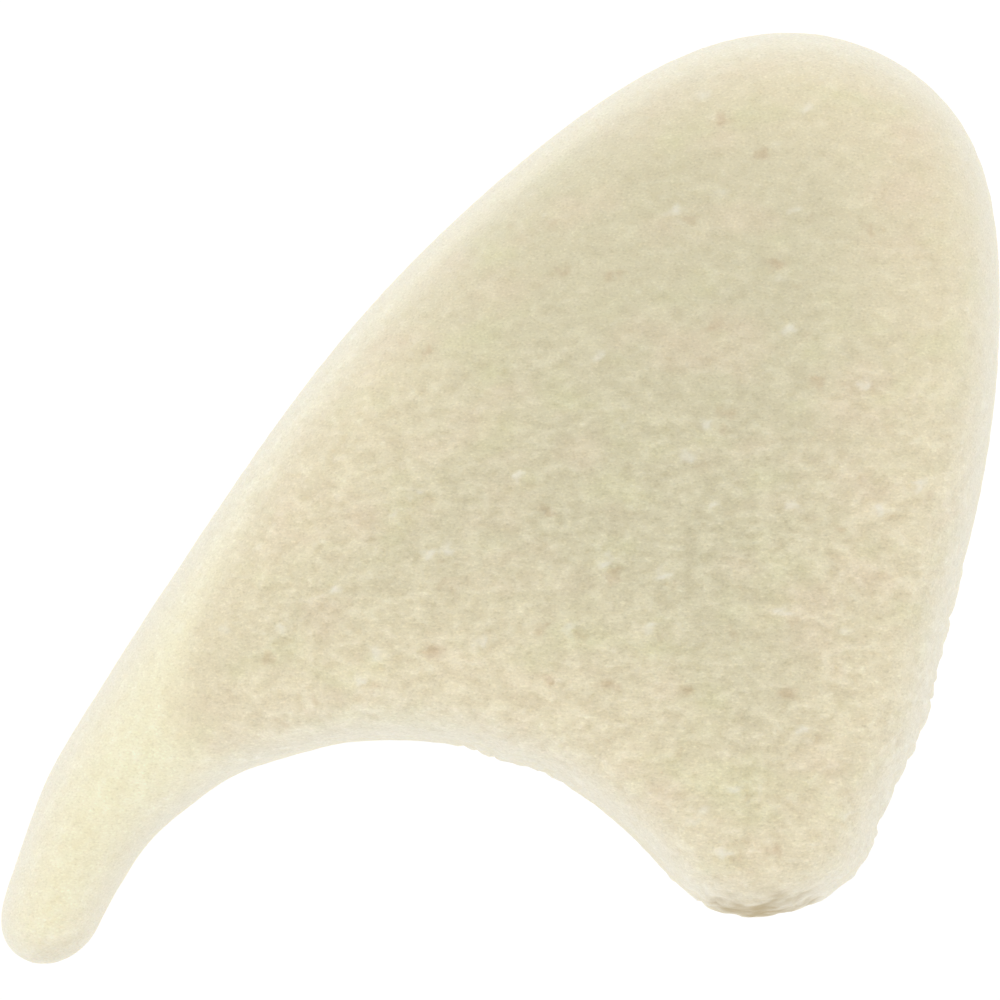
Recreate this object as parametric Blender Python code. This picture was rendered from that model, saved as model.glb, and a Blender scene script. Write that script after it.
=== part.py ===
"""Foam toe separator: one moulded pad of soft latex foam that sits between two toes.

The pad lies on its flat side. Seen from above, a round web arch opens towards -Y. A short
lobe ends the pad at the right of the arch, a slender tail ends it at the left, and between
them the body rises to a round crown. The web of skin between the toes goes in the arch.

The pad is a loft. Its sections stand on rays that fan out from the arch's centre, from the
lobe's tip round to the tail's tip, and each is a slab with soft edges.
"""

import math
from collections import namedtuple

import bmesh
import bpy
import numpy as np

MM = 0.001

# Driving sizes, as seen from above.
ARCH_RADIUS = 9.6 * MM  # the web arch, from its centre to its crown
BODY_REACH = 32.0 * MM  # the longest section, from the arch to the crown of the pad
LOBE_WIDTH = 8.0 * MM
TAIL_WIDTH = 4.0 * MM
LOBE_TIP_LENGTH = 2.7 * MM  # how far from its tip the lobe narrows
TAIL_TIP_LENGTH = 2.0 * MM

# Driving sizes, as seen from the side.
BODY_THICKNESS = 10.0 * MM
TAIL_THICKNESS = 5.0 * MM
EDGE_ROUND = 2.4 * MM  # how far in from the outline the walls round over
SHOULDER_DROP = 0.8 * MM  # how much lower the top face is where its edge starts
SHOULDER_RUN = 7.0 * MM  # how far in from the outline the top face levels out

# How finely the foam is faceted.
BODY_STATIONS = 60
TIP_STATIONS = 6
EDGE_ANGLES = (0, 14, 30, 48, 68, 90)  # degrees round each soft edge
FACE_SPANS = 5  # spans across the face between the two edges
CORNER_BLEND = 2  # power of the soft minimum of the distances to the two edges
SLOPE_STEP = 1e-4  # radians, for reading the outline's slope

POLE_MERGE = 1e-6
FOAM_COLOUR = (0.74, 0.68, 0.52, 1.0)
FOAM_ROUGHNESS = 0.9

# One row for each section, from the lobe's tip to the tail's tip.
# angle: degrees from +X round the arch's centre; arch: its inner end, from that centre;
# width: from its inner to its outer end; height_in, height_out: thickness at those ends;
# edge_in, edge_out: how far the foam rounds over there.
Section = namedtuple("Section", "angle arch width height_in height_out edge_in edge_out")
SECTIONS = (
    Section(9.3, 1.265 * ARCH_RADIUS, 0.95 * LOBE_WIDTH, 0.92 * BODY_THICKNESS, 0.92 * BODY_THICKNESS,
            0.80 * EDGE_ROUND, 0.90 * EDGE_ROUND),
    Section(14, 1.30 * ARCH_RADIUS, 1.01 * LOBE_WIDTH, 0.96 * BODY_THICKNESS, 0.94 * BODY_THICKNESS,
            0.75 * EDGE_ROUND, 0.90 * EDGE_ROUND),
    Section(18, 1.29 * ARCH_RADIUS, 1.07 * LOBE_WIDTH, 0.98 * BODY_THICKNESS, 0.96 * BODY_THICKNESS,
            0.75 * EDGE_ROUND, 0.90 * EDGE_ROUND),
    Section(24, 1.245 * ARCH_RADIUS, 0.36 * BODY_REACH, 1.00 * BODY_THICKNESS, 0.96 * BODY_THICKNESS,
            0.70 * EDGE_ROUND, 0.90 * EDGE_ROUND),
    Section(30, 1.205 * ARCH_RADIUS, 0.443 * BODY_REACH, 1.00 * BODY_THICKNESS, 0.94 * BODY_THICKNESS,
            0.70 * EDGE_ROUND, 0.90 * EDGE_ROUND),
    Section(42, 1.14 * ARCH_RADIUS, 0.682 * BODY_REACH, 1.00 * BODY_THICKNESS, 0.88 * BODY_THICKNESS,
            0.70 * EDGE_ROUND, 1.00 * EDGE_ROUND),
    Section(48, 1.115 * ARCH_RADIUS, 0.82 * BODY_REACH, 1.00 * BODY_THICKNESS, 0.84 * BODY_THICKNESS,
            0.70 * EDGE_ROUND, 1.10 * EDGE_ROUND),
    Section(54, 1.085 * ARCH_RADIUS, 0.947 * BODY_REACH, 1.00 * BODY_THICKNESS, 0.79 * BODY_THICKNESS,
            0.70 * EDGE_ROUND, 1.20 * EDGE_ROUND),
    Section(60, 1.05 * ARCH_RADIUS, 1.00 * BODY_REACH, 1.00 * BODY_THICKNESS, 0.75 * BODY_THICKNESS,
            0.70 * EDGE_ROUND, 1.30 * EDGE_ROUND),
    Section(66, 1.04 * ARCH_RADIUS, 0.984 * BODY_REACH, 1.00 * BODY_THICKNESS, 0.73 * BODY_THICKNESS,
            0.70 * EDGE_ROUND, 1.40 * EDGE_ROUND),
    Section(72, 1.03 * ARCH_RADIUS, 0.905 * BODY_REACH, 0.99 * BODY_THICKNESS, 0.72 * BODY_THICKNESS,
            0.70 * EDGE_ROUND, 1.50 * EDGE_ROUND),
    Section(78, 1.015 * ARCH_RADIUS, 0.78 * BODY_REACH, 0.97 * BODY_THICKNESS, 0.71 * BODY_THICKNESS,
            0.70 * EDGE_ROUND, 1.50 * EDGE_ROUND),
    Section(90, 1.00 * ARCH_RADIUS, 0.555 * BODY_REACH, 0.93 * BODY_THICKNESS, 0.69 * BODY_THICKNESS,
            0.70 * EDGE_ROUND, 1.50 * EDGE_ROUND),
    Section(102, 1.00 * ARCH_RADIUS, 0.39 * BODY_REACH, 0.86 * BODY_THICKNESS, 0.67 * BODY_THICKNESS,
            0.70 * EDGE_ROUND, 1.45 * EDGE_ROUND),
    Section(114, 1.01 * ARCH_RADIUS, 0.283 * BODY_REACH, 0.77 * BODY_THICKNESS, 0.64 * BODY_THICKNESS,
            0.70 * EDGE_ROUND, 1.30 * EDGE_ROUND),
    Section(126, 1.05 * ARCH_RADIUS, 1.70 * TAIL_WIDTH, 1.35 * TAIL_THICKNESS, 1.22 * TAIL_THICKNESS,
            0.70 * EDGE_ROUND, 1.15 * EDGE_ROUND),
    Section(138, 1.08 * ARCH_RADIUS, 1.385 * TAIL_WIDTH, 1.18 * TAIL_THICKNESS, 1.14 * TAIL_THICKNESS,
            0.70 * EDGE_ROUND, 1.00 * EDGE_ROUND),
    Section(150, 1.13 * ARCH_RADIUS, 1.175 * TAIL_WIDTH, 1.07 * TAIL_THICKNESS, 1.07 * TAIL_THICKNESS,
            0.70 * EDGE_ROUND, 0.90 * EDGE_ROUND),
    Section(162, 1.17 * ARCH_RADIUS, 1.02 * TAIL_WIDTH, 1.01 * TAIL_THICKNESS, 1.01 * TAIL_THICKNESS,
            0.70 * EDGE_ROUND, 0.80 * EDGE_ROUND),
    Section(169, 1.205 * ARCH_RADIUS, 0.97 * TAIL_WIDTH, 1.00 * TAIL_THICKNESS, 1.00 * TAIL_THICKNESS,
            0.70 * EDGE_ROUND, 0.75 * EDGE_ROUND),
    Section(177.6, 1.225 * ARCH_RADIUS, 0.97 * TAIL_WIDTH, 0.96 * TAIL_THICKNESS, 0.96 * TAIL_THICKNESS,
            0.70 * EDGE_ROUND, 0.70 * EDGE_ROUND),
)


def smooth_through(knots, values):
    """A natural cubic spline through the rows, as a function of the angle."""
    count = len(knots)
    gaps = np.diff(knots)
    slopes = np.diff(values) / gaps
    matrix = np.eye(count)
    right = np.zeros(count)
    for i in range(1, count - 1):
        matrix[i, i - 1 : i + 2] = gaps[i - 1], 2 * (gaps[i - 1] + gaps[i]), gaps[i]
        right[i] = 6 * (slopes[i] - slopes[i - 1])
    bends = np.linalg.solve(matrix, right)

    def value_at(angle):
        i = int(np.clip(np.searchsorted(knots, angle) - 1, 0, count - 2))
        before, after, gap = angle - knots[i], knots[i + 1] - angle, gaps[i]
        curved = (bends[i] * after**3 + bends[i + 1] * before**3) / (6 * gap)
        straight = (values[i] / gap - bends[i] * gap / 6) * after
        straight += (values[i + 1] / gap - bends[i + 1] * gap / 6) * before
        return float(curved + straight)

    return value_at


class Pad:
    """The pad's outline and heights, as functions of the section's angle in radians."""

    def __init__(self, rows):
        knots = np.radians([row.angle for row in rows])
        self.value = {
            name: smooth_through(knots, np.array([getattr(row, name) for row in rows]))
            for name in Section._fields[1:]
        }
        self.lobe_tip, self.tail_tip = knots[0], knots[-1]
        self.lobe_round = self.lobe_tip + LOBE_TIP_LENGTH / self.middle(self.lobe_tip)
        self.tail_round = self.tail_tip - TAIL_TIP_LENGTH / self.middle(self.tail_tip)

    def middle(self, angle):
        """Distance from the arch's centre to the middle of the section."""
        return self.value["arch"](angle) + self.value["width"](angle) / 2

    def narrowing(self, angle):
        """Share of its width that a section keeps: 1 along the body, and 0 at the two tips."""
        if angle < self.lobe_round:
            gone = (self.lobe_round - angle) / (self.lobe_round - self.lobe_tip)
        elif angle > self.tail_round:
            gone = (angle - self.tail_round) / (self.tail_tip - self.tail_round)
        else:
            gone = 0.0
        return math.sqrt(max(0.0, 1 - gone**2))

    def ends(self, angle):
        """The section's inner and outer end, from the arch's centre."""
        angle = min(max(angle, self.lobe_tip), self.tail_tip)
        half = self.value["width"](angle) / 2 * self.narrowing(angle)
        middle = self.middle(angle)
        return middle - half, middle + half

    def stretches(self, angle):
        """How much longer a step along the ray is than the same step square to the outline."""
        before, after = self.ends(angle - SLOPE_STEP), self.ends(angle + SLOPE_STEP)
        return [
            math.hypot(1, (b - a) / (2 * SLOPE_STEP) / radius)
            for a, b, radius in zip(before, after, self.ends(angle))
        ]

    def stations(self):
        """The angles of the sections, closer together where the two tips round off."""
        steps = [math.sin(math.pi / 2 * i / TIP_STATIONS) for i in range(TIP_STATIONS, 0, -1)]
        lobe = [self.lobe_round + (self.lobe_tip - self.lobe_round) * step for step in steps]
        tail = [self.tail_round + (self.tail_tip - self.tail_round) * step for step in steps]
        body = np.linspace(self.lobe_round, self.tail_round, BODY_STATIONS)
        return [*lobe, *body, *reversed(tail)]

    def section(self, angle):
        """The closed ring of one section, as (distance from the arch's centre, height) pairs."""
        inner, outer = self.ends(angle)
        stretch_in, stretch_out = self.stretches(angle)
        width = outer - inner
        edge_in, edge_out = self.value["edge_in"](angle), self.value["edge_out"](angle)
        room = 0.45 * width
        run_in, run_out = min(edge_in * stretch_in, room), min(edge_out * stretch_out, room)
        curve = [1 - math.cos(math.radians(a)) for a in EDGE_ANGLES]
        across = [inner + run_in * c for c in curve]
        face = np.linspace(inner + run_in, outer - run_out, FACE_SPANS + 1)
        across += list(face[1:-1]) + [outer - run_out * c for c in reversed(curve)]

        top, bottom = [], []
        for radius in across:
            share = (radius - inner) / width if width > POLE_MERGE else 0.5
            nearest = soft_minimum((radius - inner) / stretch_in, (outer - radius) / stretch_out)
            thickness = mix(self.value["height_in"](angle), self.value["height_out"](angle), share)
            rise = round_over(nearest / mix(edge_in, edge_out, share))
            shoulder = SHOULDER_DROP * (1 - min(nearest / SHOULDER_RUN, 1)) ** 2
            top.append((radius, thickness / 2 + rise * (thickness / 2 - shoulder)))
            bottom.append((radius, thickness / 2 - rise * thickness / 2))
        return top + bottom[-2:0:-1]


def mix(a, b, share):
    return a + (b - a) * share


def soft_minimum(a, b):
    """The smaller of two distances, with no crease where they are equal."""
    if min(a, b) <= 0:
        return 0.0
    return (a**-CORNER_BLEND + b**-CORNER_BLEND) ** (-1 / CORNER_BLEND)


def round_over(share):
    """Rise of a quarter round: 0 at the outline, and 1 once the share reaches 1."""
    return math.sqrt(1 - (1 - min(share, 1)) ** 2)


def foam_material():
    material = bpy.data.materials.new("latex_foam")
    material.use_nodes = True
    shader = material.node_tree.nodes["Principled BSDF"]
    shader.inputs["Base Color"].default_value = FOAM_COLOUR
    shader.inputs["Roughness"].default_value = FOAM_ROUGHNESS
    shader.inputs["Metallic"].default_value = 0.0
    return material


def loft(pad):
    """A closed mesh through the pad's sections, with its outline centred on the origin."""
    mesh = bmesh.new()
    rings = []
    for angle in pad.stations():
        along, up = math.cos(angle), math.sin(angle)
        rings.append([mesh.verts.new((r * along, r * up, z)) for r, z in pad.section(angle)])
    for ring, following in zip(rings, rings[1:]):
        for i in range(len(ring)):
            j = (i + 1) % len(ring)
            mesh.faces.new((ring[i], ring[j], following[j], following[i]))
    bmesh.ops.remove_doubles(mesh, verts=mesh.verts, dist=POLE_MERGE)
    bmesh.ops.recalc_face_normals(mesh, faces=mesh.faces)
    corners = np.array([vert.co for vert in mesh.verts])
    middle = (corners.min(axis=0) + corners.max(axis=0)) / 2
    bmesh.ops.translate(mesh, verts=mesh.verts, vec=(-middle[0], -middle[1], 0))
    return mesh


def make_foam_pad(collection):
    solid = loft(Pad(SECTIONS))
    data = bpy.data.meshes.new("foam_pad")
    solid.to_mesh(data)
    solid.free()
    data.materials.append(foam_material())
    data.shade_smooth()
    pad = bpy.data.objects.new("foam_pad", data)
    collection.objects.link(pad)
    return pad


def main():
    for obj in list(bpy.data.objects):
        bpy.data.objects.remove(obj)
    collection = bpy.data.collections.new("foam_toe_separator")
    bpy.context.scene.collection.children.link(collection)
    make_foam_pad(collection)


main()
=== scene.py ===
# %% [markdown]
# A foam toe separator
#
# The object is one small pad of soft latex foam, as long as a thumb's end joint, that sits
# between two toes. It was poured into a mould, so it has no seams: its look is all in its
# soft round edges and in its skin, which is crumpled like the skin on boiled milk.
#
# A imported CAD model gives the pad's true size and outline. This script keeps both and adds
# what CAD leaves out: the skin's relief, the foam's colour and translucence, and the light.

# %% Load the fixed frame
import math

import bmesh
import bpy
import numpy as np
from mathutils import Matrix, Vector, bvhtree, kdtree, noise


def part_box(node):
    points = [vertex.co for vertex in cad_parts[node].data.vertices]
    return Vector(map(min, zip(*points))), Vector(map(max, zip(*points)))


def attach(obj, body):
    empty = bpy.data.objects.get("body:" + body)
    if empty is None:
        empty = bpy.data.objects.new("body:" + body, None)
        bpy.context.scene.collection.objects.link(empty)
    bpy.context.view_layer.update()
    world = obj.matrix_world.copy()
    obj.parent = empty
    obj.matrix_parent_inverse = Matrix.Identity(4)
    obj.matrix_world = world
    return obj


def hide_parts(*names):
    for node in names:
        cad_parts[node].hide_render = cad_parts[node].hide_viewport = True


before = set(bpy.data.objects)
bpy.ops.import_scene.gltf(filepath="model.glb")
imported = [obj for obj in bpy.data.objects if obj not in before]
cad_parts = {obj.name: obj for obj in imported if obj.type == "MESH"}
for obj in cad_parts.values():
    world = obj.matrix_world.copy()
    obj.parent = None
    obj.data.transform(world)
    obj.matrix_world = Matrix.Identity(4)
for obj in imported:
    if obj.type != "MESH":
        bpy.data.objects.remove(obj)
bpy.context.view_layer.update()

MM = 0.001
PAD_NODE = "foam_pad"
pad_low, pad_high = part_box(PAD_NODE)
pad_size = pad_high - pad_low
print("pad, in mm:", [round(side / MM, 1) for side in pad_size])

# %% [markdown]
# The camera
#
# The pad lies on its flat side and is seen square from above. A wide lens close to it would
# make the thick body loom over the thin tail, so the lens is very long and stands well back.
# The distance follows from the lens: the pad's width has to fill the picture's width.

# %% Camera
LENS = 500.0  # millimetres, on a sensor 36 mm wide
SENSOR = 36.0
FILL = 0.9995  # share of the picture's width that the pad takes up
SIGHT_HEIGHT = 0.45  # height that is in scale, as a share of the pad's thickness
AIM = Vector((0.02, -0.09)) * MM  # the spot on the floor that the camera stands over


def make_camera():
    data = bpy.data.cameras.new("camera")
    data.lens = LENS
    data.sensor_width = SENSOR
    camera = bpy.data.objects.new("camera", data)
    seen_width = pad_size.x / FILL
    distance = seen_width * LENS / SENSOR
    camera.location = (AIM.x, AIM.y, SIGHT_HEIGHT * pad_size.z + distance)
    data.clip_start = distance / 100
    data.clip_end = distance * 10
    bpy.context.scene.collection.objects.link(camera)
    bpy.context.scene.camera = camera
    return camera


camera = make_camera()
print("camera stands", round(camera.location.z / MM), "mm above the floor")

# %% [markdown]
# A mesh fine enough for the skin
#
# The solid has a few thousand triangles: long ones over the broad faces, short ones round
# the edges. Relief needs points at even spacing, or it would come out sharp in one place
# and blurred in the next. Subdividing alone would keep the uneven spacing.
#
# So a copy of the solid is merged, joined to quads and rounded by one subdivision. A voxel
# remesh then gives even quads, and a smoothing wipes out the last facets and voxel steps.
# All of this draws the skin in a little, most at the ends and least on the long sides. The
# loss at the ends is measured, and made up for everywhere when the relief is raised.

# %% Pad body
WELD = 1e-7
SKIN_SPACING = 0.13 * MM  # distance between the points that carry the relief
JOIN_ANGLE = math.radians(40)
SMOOTHING_PASSES = 16


def merged_copy(node_name):
    """A copy of a node's mesh whose loose triangles are merged and joined to quads."""
    solid = bmesh.new()
    solid.from_mesh(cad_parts[node_name].data)
    bmesh.ops.remove_doubles(solid, verts=solid.verts, dist=WELD)
    bmesh.ops.join_triangles(
        solid, faces=solid.faces, angle_face_threshold=JOIN_ANGLE, angle_shape_threshold=JOIN_ANGLE
    )
    data = bpy.data.meshes.new("merged_pad")
    solid.to_mesh(data)
    solid.free()
    return data


def apply_modifiers(piece):
    """Replaces the piece's mesh by what its modifiers make of it."""
    graph = bpy.context.evaluated_depsgraph_get()
    finished = bpy.data.meshes.new_from_object(piece.evaluated_get(graph))
    piece.modifiers.clear()
    piece.data = finished


def make_pad():
    pad = bpy.data.objects.new("foam_skin", merged_copy(PAD_NODE))
    bpy.context.scene.collection.objects.link(pad)
    rounding = pad.modifiers.new("rounding", "SUBSURF")
    rounding.levels = rounding.render_levels = 1
    even = pad.modifiers.new("even_quads", "REMESH")
    even.mode = "VOXEL"
    even.voxel_size = SKIN_SPACING
    melt = pad.modifiers.new("melt", "SMOOTH")
    melt.factor = 0.5
    melt.iterations = SMOOTHING_PASSES
    apply_modifiers(pad)
    return pad


pad = make_pad()
drawn_in = (pad_size.y - pad.dimensions.y) / 2
print("skin mesh:", len(pad.data.vertices), "points,", len(pad.data.polygons), "quads")
print("smoothing has drawn the ends in by", round(drawn_in / MM, 3), "mm")

# %% [markdown]
# How thin the foam is at a point
#
# Light comes through foam where it is thin: near the rim, and all over the tail. That glow is
# painted into the colour here, as a paler tint. The material can't measure where the foam is
# thin, so both are worked out once for every point.
#
# A point's distance from the rim, as seen from above, is its distance from the nearest point
# of the upright walls. A k-d tree finds that quickly. The thickness at its place is the
# height at which a line dropped from above meets the pad, because the underside is flat.

# %% Thinness
UPRIGHT = 0.2  # a wall's normal points up or down by no more than this


def rim_distances(pad):
    """Each point's distance from the outline, as seen from above."""
    flat = [Vector((vert.co.x, vert.co.y, 0)) for vert in pad.data.vertices]
    walls = [i for i, vert in enumerate(pad.data.vertices) if abs(vert.normal.z) < UPRIGHT]
    tree = kdtree.KDTree(len(walls))
    for i in walls:
        tree.insert(flat[i], i)
    tree.balance()
    return np.array([tree.find(place)[2] for place in flat])


def thicknesses(pad):
    """How thick the pad is at each point's place, as a share of its full thickness."""
    tree = bvhtree.BVHTree.FromObject(pad, bpy.context.evaluated_depsgraph_get())
    down = Vector((0, 0, -1))
    above = 2 * pad_high.z
    hits = (tree.ray_cast(Vector((v.co.x, v.co.y, above)), down)[0] for v in pad.data.vertices)
    return np.array([hit.z / pad_high.z if hit else 0.0 for hit in hits])


rims = rim_distances(pad)
thick = thicknesses(pad)
print("widest place:", round(2 * rims.max() / MM, 1), "mm across")
print("mean thickness:", round(thick.mean() * pad_high.z / MM, 1), "mm")

# %% [markdown]
# The crumpled skin
#
# When latex foam cures, its skin shrinks and puckers into flat oval lumps about a millimetre
# long, like the skin of cottage cheese. A pattern of Voronoi cells would look like cobbles,
# because its creases are straight. Soft noise has no creases at all.
#
# Folded noise has both: where plain noise passes through zero, its absolute value makes a
# crease that winds about, and on either side of the crease the skin swells up. The lumps
# are drawn out along X, and along the tail in the tail.
#
# The patterns are pushed about by noise_vector, whose offsets follow the clock until a seed
# is set. With a fixed seed the skin is the same each time.

# %% Lumps and creases
STRETCH = 1.5  # how much longer than wide the lumps are
LUMP = 1.1 * MM  # across a puffy lump
KNOB = 0.48 * MM  # across the knobs between and on the lumps
GRIT = 0.27 * MM  # across the smallest knobs that the mesh can hold
LIE = math.radians(8)  # how far the finest flakes dip towards the right
WARP = 0.35  # how far the pattern is pushed about, in lumps
FOLD_GAIN = 2.4  # brings folded noise, which seldom passes 0.4, up to about 1
FROM_TAIL = Matrix.Rotation(math.radians(-60), 3, "Z")  # turns the tail's direction to X
SEED = 11
noise.seed_set(SEED)


def eased(value, low, high):
    """Goes from 0 at low to 1 at high, with a soft start and end."""
    share = min(max((value - low) / (high - low), 0.0), 1.0)
    return share * share * (3 - 2 * share)


def folded(here):
    """1 on top of a puffy lump and 0 in the creases."""
    here = here + WARP * noise.noise_vector(here * 1.7)
    return min(1.0, FOLD_GAIN * abs(noise.noise(here)))


def plain(here):
    """Soft knobs between about -1 and 1."""
    return 2 * noise.noise(here)


def drawn_out(place, size):
    """The place in units of one lump, which is longer along X."""
    return Vector((place.x / STRETCH, place.y, place.z)) / size


def tail_share(place):
    """0 in the body and 1 in the tail."""
    return eased(place.x, 0.45 * pad_low.x, 0.75 * pad_low.x)


def pattern_at(place, size, pattern):
    """A pattern that runs along X in the body and along the tail in the tail."""
    in_tail = tail_share(place)
    value = pattern(drawn_out(place, size))
    if in_tail > 0:
        value += in_tail * (pattern(drawn_out(FROM_TAIL @ place, size)) - value)
    return value


for pattern, size in ((folded, LUMP), (plain, KNOB), (plain, GRIT)):
    print(pattern.__name__, "at the corner:", round(pattern_at(pad_high, size, pattern), 2))

# %% [markdown]
# Pits and nubs
#
# Here and there a drop of latex has been pulled out of the skin as a nub, which gets a painted
# highlight, with a pit right beside it, and elsewhere a burst bubble has left a pit alone.
# The pits get painted shade. They sit at random, so each is the seed point of a Voronoi cell,
# and a number drawn from that seed says which one it is, or that there is nothing. The few
# largest nubs are listed.

# %% Pits and nubs
SPOT_SPACING = 1.4 * MM
SPOT_RADIUS = 0.29 * MM
PIT_LUCK = -0.50  # a seed whose number is lower has a pit
NUB_LUCK = 0.32  # a seed whose number is higher has a nub
LUCK_SPREAD = 37.0  # sets neighbouring seeds far apart before their numbers are drawn
BESIDE = Vector((0.42, -0.26, 0)) * MM  # from a nub to its pit
BESIDE_SHARE = 0.7  # how deep that pit is, next to one that lies alone
LARGE_NUB = Vector((0.40, 0.25)) * MM  # its radius along X and along Y
RAGGED = 0.28 * MM  # how far the spots' edges are pushed about
RAGGED_SIZE = 0.35 * MM
LARGE_NUBS = (  # in millimetres from the pad's middle
    (8.3, 2.9), (0.8, 0.8), (11.2, -4.6), (-2.8, -2.3), (6.0, -5.2), (2.8, -5.2),
    (6.5, -3.1), (11.2, -15.7), (9.4, -11.6), (9.0, -14.1), (12.1, -9.3), (13.8, -12.6),
)


def spots_at(place):
    """How much of a nub and how much of a pit there is, both from 0 to 1."""
    distances, seeds = noise.voronoi(drawn_out(place, SPOT_SPACING))
    luck = noise.cell(seeds[0] * LUCK_SPREAD)
    bell = math.exp(-((distances[0] * SPOT_SPACING / SPOT_RADIUS) ** 2))
    return (bell if luck > NUB_LUCK else 0.0), (bell if luck < PIT_LUCK else 0.0)


def large_nub_at(place):
    """1 on top of a large nub of the upper side, by an oval bell."""
    nearest = min(
        ((place.x - x * MM) / LARGE_NUB.x) ** 2 + ((place.y - y * MM) / LARGE_NUB.y) ** 2
        for x, y in LARGE_NUBS
    )
    return math.exp(-nearest) if place.z > 0 else 0.0


def spot_at(place):
    """-1 in the middle of a pit, 1 on top of a nub, and 0 where the skin is plain."""
    place = place + RAGGED * noise.noise_vector(place / RAGGED_SIZE)
    nub, pit = spots_at(place)
    neighbour, _ = spots_at(place - BESIDE)
    nub = max(nub, large_nub_at(place))
    neighbour = max(neighbour, large_nub_at(place - BESIDE))
    return nub - max(pit, BESIDE_SHARE * neighbour)


samples = [spot_at(Vector((i, j, 0)) * MM / 5) for i in range(80) for j in range(80)]
print("pits cover", round(sum(s < -0.5 for s in samples) / len(samples), 3))

# %% [markdown]
# Where the skin is rough
#
# The relief isn't even. It is soft round the crown and in the tail, sharp and deep towards
# the lobe, and softer on the walls, which lay against the mould. At three places the skin has
# crumbled: on the lower flank, round the end of the lobe and on one stretch of the arch.
# There the walls are rougher than other walls, though not as rough as the top, and the outline
# itself is scalloped.

# %% Rough places
CROWN_STRENGTH = 0.55
TAIL_STRENGTH = 0.55
WALL_STRENGTH = 0.22
CRUMBLED_STRENGTH = 0.35
# Crumbled places: x, y and radius, as shares of the pad's half width.
CRUMBLED = ((0.90, -0.45, 0.42), (0.56, -0.86, 0.32), (0.04, -0.50, 0.18))


def below_crown(place, low, high):
    """Goes from 0 to 1 between two shares of the way from the crown to the tail's end."""
    return eased((place.y - pad_high.y) / (pad_low.y - pad_high.y), low, high)


def crumbled_at(place):
    half = pad_high.x
    return max(
        1 - eased(math.hypot(place.x / half - x, place.y / half - y), 0.5 * radius, radius)
        for x, y, radius in CRUMBLED
    )


def strength_at(place, normal):
    """How strong the relief is."""
    body = CROWN_STRENGTH + (1 - CROWN_STRENGTH) * below_crown(place, 0.15, 0.6)
    tail = 1 - (1 - TAIL_STRENGTH) * tail_share(place)
    rough = max(abs(normal.z), CRUMBLED_STRENGTH * crumbled_at(place))
    return body * tail * (WALL_STRENGTH + (1 - WALL_STRENGTH) * rough)


print("crumbled at the lobe:", round(crumbled_at(Vector((0.56, -0.86, 0)) * pad_high.x), 2))

# %% [markdown]
# Raising the skin
#
# Each point moves along its normal by the sum of all these forms. The underside keeps only
# what the floor lets it keep: a lump that would reach below the floor is pressed flat.

# %% Raise the skin
LUMP_HEIGHT = 0.034 * MM
KNOB_HEIGHT = 0.043 * MM
GRIT_HEIGHT = 0.030 * MM
SPOT_HEIGHT = 0.085 * MM
SWELL = 2.8 * MM  # across the soft dents under the lumps
SWELL_HEIGHT = 0.05 * MM
SCALLOP = 1.0 * MM
SCALLOP_HEIGHT = 0.14 * MM
SCALLOP_DRAW = 3.0  # how many times higher than wide the scallops are


def skin_at(place):
    """How far the crumpled skin stands out, in metres, without spots and scallops."""
    height = LUMP_HEIGHT * (pattern_at(place, LUMP, folded) - 0.5)
    height += KNOB_HEIGHT * pattern_at(place, KNOB, plain)
    return height + GRIT_HEIGHT * pattern_at(place, GRIT, plain)


def scallop_at(place, normal):
    """The crumbled walls' round knobs, upright so that their creases show in the outline."""
    loose = crumbled_at(place) * (1 - abs(normal.z))
    if loose == 0:
        return 0.0
    here = Vector((place.x, place.y, place.z / SCALLOP_DRAW)) / SCALLOP
    return loose * SCALLOP_HEIGHT * (folded(here) - 0.6)


def spot_share(place, normal):
    """1 on the faces and 0 on the walls and in the tail, which have no pits and nubs."""
    return eased(abs(normal.z), 0.5, 0.9) * (1 - tail_share(place))


def raise_skin(pad):
    """Moves every point along its normal; returns the skin's heights and the spots."""
    points = [(vert.co.copy(), vert.normal.copy()) for vert in pad.data.vertices]
    skin = np.array([strength_at(*point) * skin_at(point[0]) for point in points])
    spots = np.array([spot_share(*point) * spot_at(point[0]) for point in points])
    for vert, height, spot, (place, normal) in zip(pad.data.vertices, skin, spots, points):
        relief = height + strength_at(place, normal) * SPOT_HEIGHT * spot
        swell = drawn_in + SWELL_HEIGHT * abs(normal.z) * noise.noise(place / SWELL)
        moved = place + normal * (relief + swell + scallop_at(place, normal))
        moved.z = max(moved.z, pad_low.z)
        vert.co = moved
    pad.data.shade_smooth()
    pad.data.update()
    return skin, spots


skin, spots = raise_skin(pad)
print("skin from", round(skin.min() / MM, 3), "to", round(skin.max() / MM, 3), "mm")

# %% [markdown]
# What the material needs to know
#
# The creases get painted shade and the lumps a painted highlight; the pits get painted shade
# and the nubs a painted highlight. The rim gets a painted glow and the thin tail nearly as much,
# the foam further in is a warm cream, and the thick middle gets a painted shade that greys it.
# The skin is flakiest in the lower half of the body. The very end of the lobe gets painted shade,
# most in its creases, and the end of the tail a little. All of these are stored on the mesh as
# attributes, which the material reads, so colour and shape can't come apart.

# %% Store the attributes
SKIN_HEIGHT = "skin_height"
SPOTS = "spots"
# Painted glow of light coming through the foam near the rim.
RIM_GLOW = "rim"
RIM_GLOW_DEPTH = 1.2 * MM  # how far in from the outline the painted glow reaches
WALL_GLOW = 0.45  # how strong the painted glow is on an upright wall, next to the edge above it
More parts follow.
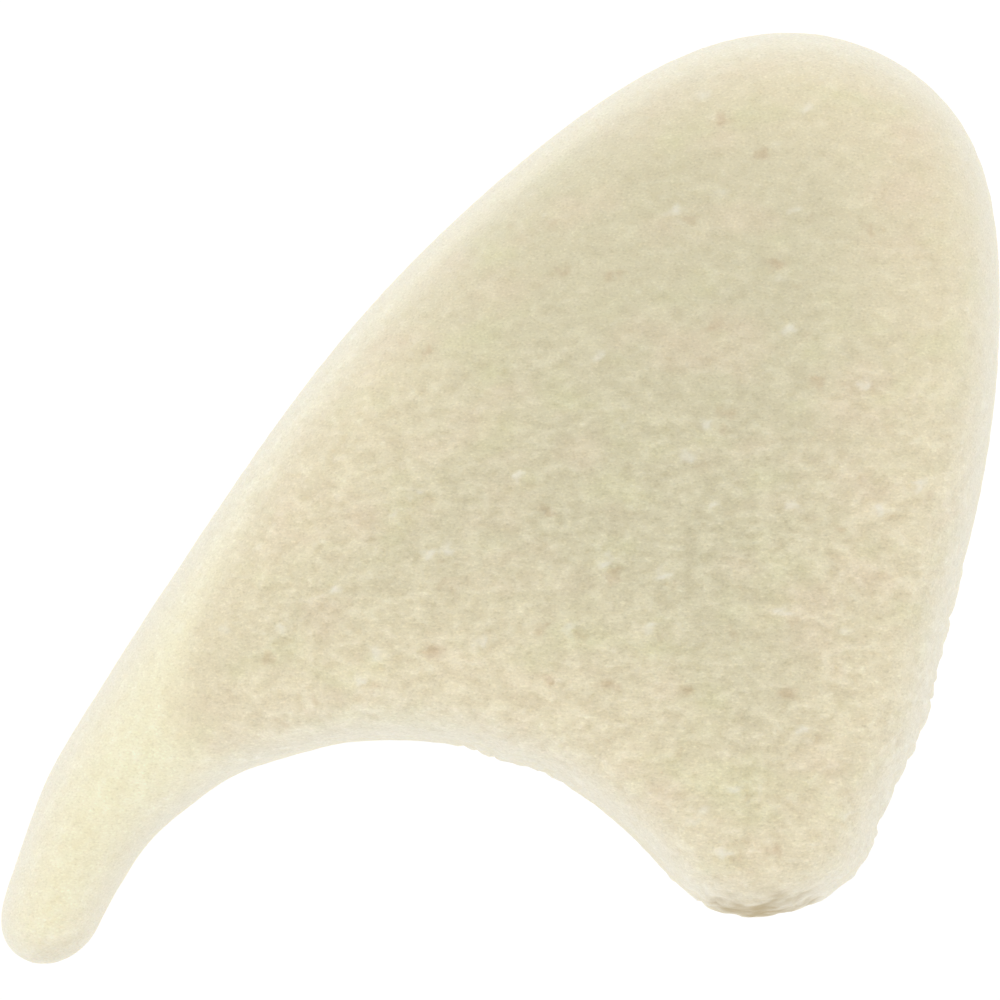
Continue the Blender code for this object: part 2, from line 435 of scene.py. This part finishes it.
# Painted shade over the thick middle, deepest near one place and fading out towards the rim.
UNSHADED_SHARE = "unshaded_cream_share"
MIDDLE_SHADE_DEPTH = (10 * MM, 1 * MM)  # from the thick middle's painted shade to the warm cream
SHADIEST_PLACE = Vector((0.20, 0.48))  # painted shade nearly reaches the rim here, in half widths
SHADIEST_SHARE = 0.15  # how much of the warm cream still shows through the painted shade there
SHADIEST_REACH = (3 * MM, 12 * MM)
THINNESS = "thinness"
TAIL_THINNESS = 0.1  # brings the thicker root of the tail in with the rest of it
# Painted shade at the end of the lobe and under the end of the tail.
END_SHADE = "painted_end_shade"
# Painted shade: each patch's middle, how far it reaches and how strong it is, in millimetres:
# one on the wall of the lobe's end, and a faint one under the end of the tail.
END_SHADES = (((10.3, -16.8, 6.5), (2.3, 1.35, 3.0), 1.0),
          ((-17.9, -18.4, 2.5), (2.0, 0.9, 3.0), 0.28))
END_SHADE_RAGGED = 0.8 * MM
END_SHADE_EVEN = 0.95  # how much of the painted shade there is halfway up the relief
END_SHADE_IN_CREASES = 0.5  # how much more there is in the creases, and less on the lumps
FLAKINESS = "flakiness"
WALL_FLAKES = 0.3  # share of the flakes on a wall, next to the upper side
TAIL_FLAKES = 0.3


def store(name, shares):
    layer = pad.data.attributes.new(name, "FLOAT", "POINT")
    layer.data.foreach_set("value", np.asarray(shares, dtype=np.float32))
    print(name, "from", round(float(min(shares)), 2), "to", round(float(max(shares)), 2))


def unshaded_share_at(place, rim):
    """0 in the painted shade of the middle, 1 in the warm cream, at this distance from the rim."""
    from_shadiest = eased((place.xy - SHADIEST_PLACE * pad_high.x).length, *SHADIEST_REACH)
    return eased(rim, *MIDDLE_SHADE_DEPTH) * (SHADIEST_SHARE + (1 - SHADIEST_SHARE) * from_shadiest)


def rim_glow_at(rim, normal):
    """1 where the painted glow is brightest, at the edge above a wall."""
    upright = WALL_GLOW + (1 - WALL_GLOW) * eased(normal.z, 0.05, 0.35)
    return upright * math.exp(-rim / RIM_GLOW_DEPTH)


def end_shade_at(place):
    """How much painted shade a place gets: each patch is an oval bell with a ragged edge."""
    here = (place + END_SHADE_RAGGED * noise.noise_vector(place / END_SHADE_RAGGED)) / MM
    return sum(share * math.exp(-sum(((at - middle) / reach) ** 2
                                     for at, middle, reach in zip(here, middles, reaches)))
               for middles, reaches, share in END_SHADES)


def flakiness_at(vert):
    """How flaky the skin is: 0 round the crown and 1 on the upper side further down."""
    wall = WALL_FLAKES + (1 - WALL_FLAKES) * abs(vert.normal.z)
    tail = 1 - (1 - TAIL_FLAKES) * tail_share(vert.co)
    return below_crown(vert.co, 0.15, 0.6) * wall * tail


tallest = np.percentile(abs(skin), 97)
places = [vert.co for vert in pad.data.vertices]
normals = [vert.normal for vert in pad.data.vertices]
in_tail = np.array([tail_share(place) for place in places])
store(SKIN_HEIGHT, np.clip(skin / tallest, -1, 1))
store(SPOTS, spots)
store(RIM_GLOW, [rim_glow_at(rim, normal) for rim, normal in zip(rims, normals)])
store(UNSHADED_SHARE, [unshaded_share_at(place, rim) for place, rim in zip(places, rims)])
store(THINNESS, 1 - np.clip(thick, 0, 1) + TAIL_THINNESS * in_tail)
end_shade_amounts = np.array([end_shade_at(place) for place in places])
store(END_SHADE, end_shade_amounts * (END_SHADE_EVEN - END_SHADE_IN_CREASES * np.clip(skin / tallest, -1, 1)))
store(FLAKINESS, [flakiness_at(vert) for vert in pad.data.vertices])

# %% [markdown]
# Foam
#
# Latex foam is a cream solid full of tiny bubbles. Light goes in, scatters and comes out a
# millimetre away, which is why the thin rims glow and the shadows in the creases are soft.
# That is subsurface scattering, and its radius is a real distance in the foam.
#
# The colour is built up as paint would be: the cream of the thick middle under painted shade
# first, the warmer cream round it, faint patches of peach and green, a painted glow over the
# thin tail and the rim, painted shade in the creases and painted highlight on the lumps, and
# last the small things: grain, flakes, painted shade in the pits, painted highlight on the
# nubs, and painted shade at the ends of the lobe and the tail.

# %% Foam colours
# The cream under the painted shade of the thick middle.
SHADED_MIDDLE_FOAM = (0.717, 0.663, 0.469)
WARM = (0.836, 0.754, 0.544)
# Painted glow of light coming through the thin tail.
THIN_GLOW_TINT = (0.968, 0.900, 0.655)
# Painted glow of light coming through the foam at the rim.
RIM_GLOW_TINT = (0.864, 0.825, 0.699)
PEACH = (0.83, 0.69, 0.52)
LEAF = (0.74, 0.73, 0.45)
# Painted shade in the pits, the lone ones and those beside the nubs.
PIT_SHADE = (0.50, 0.31, 0.16)
# Painted highlight on the nubs.
NUB_HIGHLIGHT = (0.96, 0.94, 0.85)
# Painted shade at the end of the lobe and of the tail.
END_SHADE_TINT = (0.46, 0.36, 0.19)
# Painted shade in the creases and painted highlight on the lumps, set by the skin's height.
CREASE_SHADE = (0.79, 0.76, 0.70)
CREST_HIGHLIGHT = (1.155, 1.165, 1.20)
FLECK_SHADE = (0.74, 0.72, 0.67)
FLAKE_SHADE = (1.28, 1.29, 1.34)


def add_node(tree, kind, **inputs):
    """A shader node with some of its inputs set."""
    node = tree.nodes.new(kind)
    for name, value in inputs.items():
        node.inputs[name].default_value = value
    return node


def colour_socket(sockets, name):
    return next(s for s in sockets if s.name == name and s.type == "RGBA")


def blended(tree, share, first, second, way="MIX"):
    """A colour that goes from the first to the second as the share goes from 0 to 1."""
    node = tree.nodes.new("ShaderNodeMix")
    node.data_type = "RGBA"
    node.blend_type = way
    node.clamp_result = True
    for name, value in (("A", first), ("B", second)):
        socket = colour_socket(node.inputs, name)
        if isinstance(value, tuple):
            socket.default_value = (*value, 1)
        else:
            tree.links.new(value, socket)
    tree.links.new(share, node.inputs["Factor"])
    return colour_socket(node.outputs, "Result")


def ramp(tree, value, low, high, to_low=0.0, to_high=1.0):
    """A value that goes softly from to_low to to_high as the input goes from low to high."""
    node = tree.nodes.new("ShaderNodeMapRange")
    node.interpolation_type = "SMOOTHSTEP"
    limits = {"From Min": low, "From Max": high, "To Min": to_low, "To Max": to_high}
    for name, number in limits.items():
        node.inputs[name].default_value = number
    tree.links.new(value, node.inputs["Value"])
    return node.outputs["Result"]


def stored(tree, name):
    node = tree.nodes.new("ShaderNodeAttribute")
    node.attribute_name = name
    return node.outputs["Fac"]


def times(tree, first, second):
    node = tree.nodes.new("ShaderNodeMath")
    node.operation = "MULTIPLY"
    tree.links.new(first, node.inputs[0])
    tree.links.new(second, node.inputs[1])
    return node.outputs["Value"]


def cloud(tree, size, detail, shift, stretch=STRETCH):
    """Noise in the pad's own coordinates, with patches of one size."""
    place = tree.nodes.new("ShaderNodeTexCoord").outputs["Object"]
    mapping = tree.nodes.new("ShaderNodeMapping")
    mapping.inputs["Location"].default_value = (shift * MM, 0, 0)
    mapping.inputs["Rotation"].default_value = (0, 0, LIE)
    mapping.inputs["Scale"].default_value = (1 / stretch, 1, 1)
    tree.links.new(place, mapping.inputs["Vector"])
    node = add_node(tree, "ShaderNodeTexNoise", Scale=1 / size, Detail=detail)
    tree.links.new(mapping.outputs["Vector"], node.inputs["Vector"])
    return node.outputs["Fac"]


print("cream:", SHADED_MIDDLE_FOAM, "warm cream:", WARM, "tail:", THIN_GLOW_TINT, "rim:", RIM_GLOW_TINT)

# %% [markdown]
# Mixing the colours
#
# Each line below is one coat of that paint, with how much of it shows and where. The finest
# flakes and flecks of the skin are smaller than the mesh's quads, so they are paint too.

# %% Foam material
GRAIN = 0.075 * MM
GRAIN_SHARE = 0.45
FLAKE = 0.16 * MM
FLAKE_STRETCH = 1.9
FLAKE_SHARE = 0.42


def flecked(tree, colour, pattern, share, where=None):
    """The colour with dark flecks where the pattern is low and light flakes where it is high."""
    flecks = ramp(tree, pattern, 0.22, 0.48, share, 0)
    flakes = ramp(tree, pattern, 0.52, 0.78, 0, share)
    if where:
        flecks, flakes = times(tree, flecks, where), times(tree, flakes, where)
    colour = blended(tree, flecks, colour, FLECK_SHADE, "MULTIPLY")
    return blended(tree, flakes, colour, FLAKE_SHADE, "MULTIPLY")


def foam_colour(tree):
    # Painted shade over the thick middle, fading out into the warm cream.
    colour = blended(tree, stored(tree, UNSHADED_SHARE), SHADED_MIDDLE_FOAM, WARM)
    colour = blended(tree, ramp(tree, cloud(tree, 2.6 * MM, 2, 0), 0.5, 0.75, 0, 0.35), colour, PEACH)
    colour = blended(tree, ramp(tree, cloud(tree, 2.2 * MM, 2, 90), 0.5, 0.75, 0, 0.35), colour, LEAF)
    # Painted glow where the foam is thin, most of all in the tail.
    colour = blended(tree, ramp(tree, stored(tree, THINNESS), 0.38, 0.52), colour, THIN_GLOW_TINT)
    # Painted glow along the rim.
    colour = blended(tree, ramp(tree, stored(tree, RIM_GLOW), 0, 1, 0, 0.9), colour, RIM_GLOW_TINT)
    height = stored(tree, SKIN_HEIGHT)
    # Painted shade in the creases and painted highlight on the lumps.
    colour = blended(tree, ramp(tree, height, -1, 0, 0.20, 0), colour, CREASE_SHADE, "MULTIPLY")
    colour = blended(tree, ramp(tree, height, 0, 1, 0, 0.37), colour, CREST_HIGHLIGHT, "MULTIPLY")
    colour = flecked(tree, colour, cloud(tree, GRAIN, 2, 40), GRAIN_SHARE)
    flakes = cloud(tree, FLAKE, 3, 20, FLAKE_STRETCH)
    colour = flecked(tree, colour, flakes, FLAKE_SHARE, stored(tree, FLAKINESS))
    spots = stored(tree, SPOTS)
    # Painted shade in the pits and painted highlight on the nubs.
    colour = blended(tree, ramp(tree, spots, -1, -0.1, 0.27, 0), colour, PIT_SHADE)
    colour = blended(tree, ramp(tree, spots, 0.1, 1, 0, 0.4), colour, NUB_HIGHLIGHT)
    # Painted shade at the ends of the lobe and the tail, most in the creases.
    return blended(tree, ramp(tree, stored(tree, END_SHADE), 0, 1, 0, 0.9), colour, END_SHADE_TINT)


def make_foam():
    material = bpy.data.materials.new("latex_foam")
    material.use_nodes = True
    tree = material.node_tree
    shader = tree.nodes["Principled BSDF"]
    tree.links.new(foam_colour(tree), shader.inputs["Base Color"])
    rough = ramp(tree, stored(tree, SKIN_HEIGHT), 0, 1, 0.85, 0.65)
    tree.links.new(rough, shader.inputs["Roughness"])
    bump = add_node(tree, "ShaderNodeBump", Strength=0.6, Distance=0.05 * MM)
    tree.links.new(cloud(tree, 0.14 * MM, 3, 60), bump.inputs["Height"])
    tree.links.new(bump.outputs["Normal"], shader.inputs["Normal"])
    shader.inputs["Subsurface Weight"].default_value = 0.35
    shader.inputs["Subsurface Radius"].default_value = (1.0, 0.85, 0.6)
    shader.inputs["Subsurface Scale"].default_value = 1.6 * MM
    shader.inputs["Specular IOR Level"].default_value = 0.35
    shader.inputs["Sheen Weight"].default_value = 0.08
    return material


pad.data.materials.clear()
pad.data.materials.append(make_foam())
print("materials:", [slot.name for slot in pad.material_slots])

# %% [markdown]
# The floor
#
# The ground is plain white and so bright that no shadow shows on it. It also lights the
# pad's rims from below. A plane that gives off a little light of its own does both.

# %% Floor
FLOOR_SIDE = 1.2
FLOOR_GAP = 0.03 * MM  # keeps the floor from showing through the pad's flat underside
FLOOR_GLOW = 0.93
FLOOR_GREY = 0.12


def make_floor():
    sheet = bmesh.new()
    bmesh.ops.create_grid(sheet, x_segments=1, y_segments=1, size=FLOOR_SIDE / 2)
    bmesh.ops.translate(sheet, verts=sheet.verts, vec=(0, 0, pad_low.z - FLOOR_GAP))
    data = bpy.data.meshes.new("floor")
    sheet.to_mesh(data)
    sheet.free()
    material = bpy.data.materials.new("white_floor")
    material.use_nodes = True
    shader = material.node_tree.nodes["Principled BSDF"]
    shader.inputs["Base Color"].default_value = (FLOOR_GREY, FLOOR_GREY, FLOOR_GREY, 1)
    shader.inputs["Roughness"].default_value = 0.9
    shader.inputs["Specular IOR Level"].default_value = 0.0
    shader.inputs["Emission Color"].default_value = (1, 1, 1, 1)
    shader.inputs["Emission Strength"].default_value = FLOOR_GLOW
    data.materials.append(material)
    floor = bpy.data.objects.new("floor", data)
    bpy.context.scene.collection.objects.link(floor)
    return floor


floor = make_floor()
print("floor is", FLOOR_SIDE, "m wide")

# %% [markdown]
# The light
#
# The light is that of a white tent: soft, from all sides, hardly dimmer overhead and hardly
# brighter towards the upper left of the pad. The world here is such a dome.

# %% Light dome
HORIZON = 0.965
ZENITH = 0.88
TILT = 0.10
BRIGHT_SIDE = Vector((-0.55, 0.75, 0.35)).normalized()


def make_dome():
    world = bpy.data.worlds.new("light_dome")
    world.use_nodes = True
    tree = world.node_tree
    toward = tree.nodes.new("ShaderNodeTexCoord").outputs["Generated"]
    split = tree.nodes.new("ShaderNodeSeparateXYZ")
    tree.links.new(toward, split.inputs["Vector"])
    level = ramp(tree, split.outputs["Z"], 0.0, 1.0, HORIZON, ZENITH)
    facing = tree.nodes.new("ShaderNodeVectorMath")
    facing.operation = "DOT_PRODUCT"
    facing.inputs[1].default_value = BRIGHT_SIDE
    tree.links.new(toward, facing.inputs[0])
    total = tree.nodes.new("ShaderNodeMath")
    total.operation = "MULTIPLY_ADD"
    total.inputs[1].default_value = TILT
    tree.links.new(facing.outputs["Value"], total.inputs[0])
    tree.links.new(level, total.inputs[2])
    tree.links.new(total.outputs["Value"], tree.nodes["Background"].inputs["Strength"])
    tree.nodes["Background"].inputs["Color"].default_value = (1, 1, 1, 1)
    bpy.context.scene.world = world
    return world


make_dome()
bpy.context.scene.view_settings.view_transform = "Standard"
print("view transform:", bpy.context.scene.view_settings.view_transform)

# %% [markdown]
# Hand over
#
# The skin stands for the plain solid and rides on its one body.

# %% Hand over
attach(pad, "root")
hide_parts(PAD_NODE)
